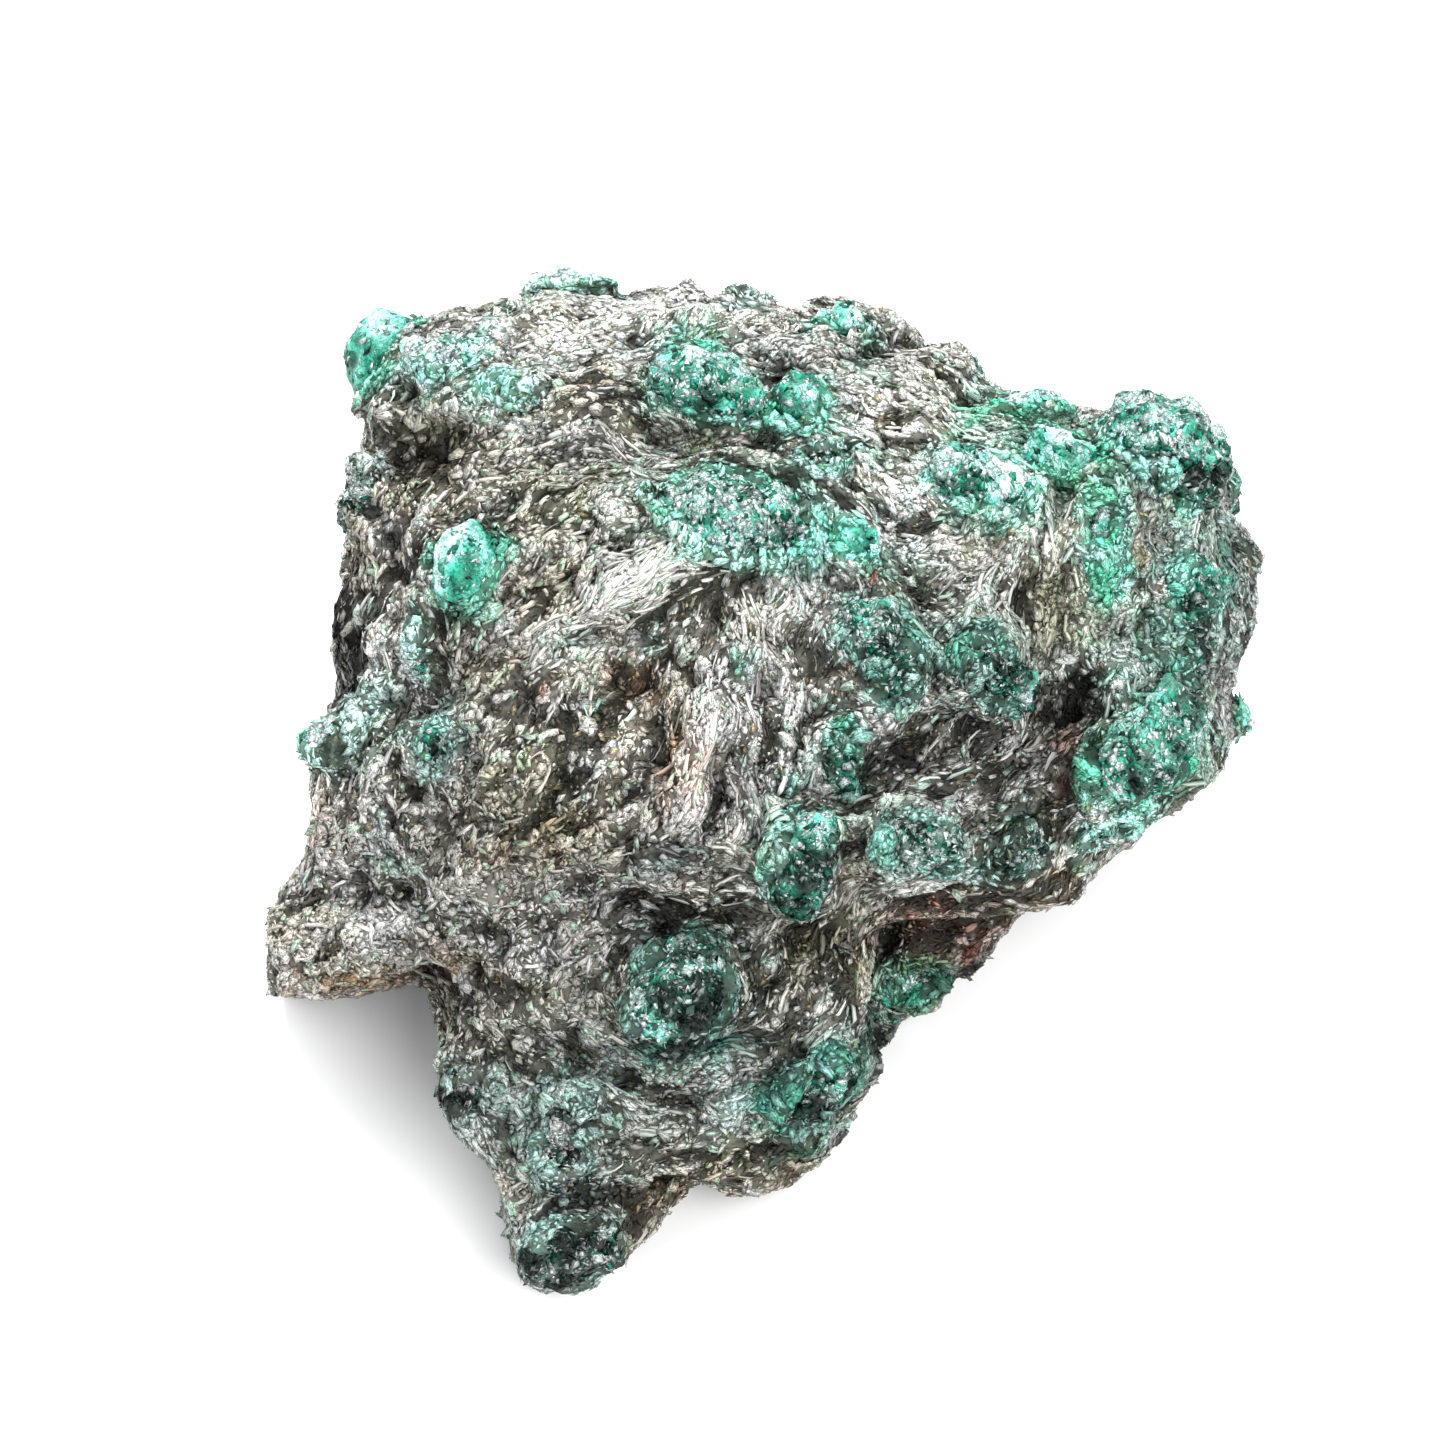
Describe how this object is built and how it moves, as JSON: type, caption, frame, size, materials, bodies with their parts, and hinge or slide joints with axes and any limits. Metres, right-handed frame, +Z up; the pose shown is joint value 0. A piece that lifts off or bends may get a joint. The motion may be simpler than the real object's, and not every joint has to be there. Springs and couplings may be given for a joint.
{
  "type": "emerald specimen in mica schist matrix",
  "caption": "Rough lump of silvery mica schist with worn green emerald crystals grown into its faces, lying on a flat underside with its display face leaning back.",
  "frame": {"origin": "on the flat resting face, under the middle of the bounding box", "axes": "+Z up from the resting face; the display face looks towards -Y and up, leaning back by 45 degrees, with +X to its right"},
  "size_m": [0.1008, 0.1039, 0.0672],
  "materials": {
    "schist": "rough, glittering with silvery, dark and bronze mica flakes",
    "emerald": "worn, vitreous, mint to dark bluish green, partly coated in mica"
  },
  "bodies": {
    "root": {"schist_matrix": "schist", "emerald_corner_knob": "emerald", "emerald_left_shoulder": "emerald", "emerald_shoulder_bead": "emerald", "emerald_crown_knob": "emerald", "emerald_brow": "emerald", "emerald_brow_prism": "emerald", "emerald_crown_bead": "emerald", "emerald_cheek_bead": "emerald", "emerald_great_oval": "emerald", "emerald_bright_bead": "emerald", "emerald_wedge": "emerald", "emerald_ridge": "emerald", "emerald_saddle_upper": "emerald", "emerald_saddle_lower": "emerald", "emerald_right_knob": "emerald", "emerald_upright_splinter": "emerald", "emerald_right_edge": "emerald", "emerald_right_cheek": "emerald", "emerald_right_hip": "emerald", "emerald_mint_slope": "emerald", "emerald_spur": "emerald", "emerald_ledge_corner": "emerald", "emerald_eye": "emerald", "emerald_eye_tail": "emerald", "emerald_dark_column": "emerald", "emerald_dark_shelf": "emerald", "emerald_rib_splinter": "emerald", "emerald_long_prism": "emerald", "emerald_pale_ledge": "emerald", "emerald_teal_ledge": "emerald", "emerald_heart": "emerald", "emerald_apron": "emerald", "emerald_apron_edge": "emerald", "emerald_undercut_bead": "emerald", "emerald_toe_cap": "emerald", "emerald_shin": "emerald", "emerald_skirt_bead": "emerald", "emerald_left_shelf": "emerald", "emerald_shelf_bead": "emerald", "emerald_left_flank": "emerald", "emerald_back_knob": "emerald", "emerald_back_column": "emerald", "emerald_back_oval": "emerald", "emerald_back_bead": "emerald", "emerald_back_low": "emerald", "emerald_left_back": "emerald", "emerald_right_back": "emerald"}
  },
  "joints": []
}
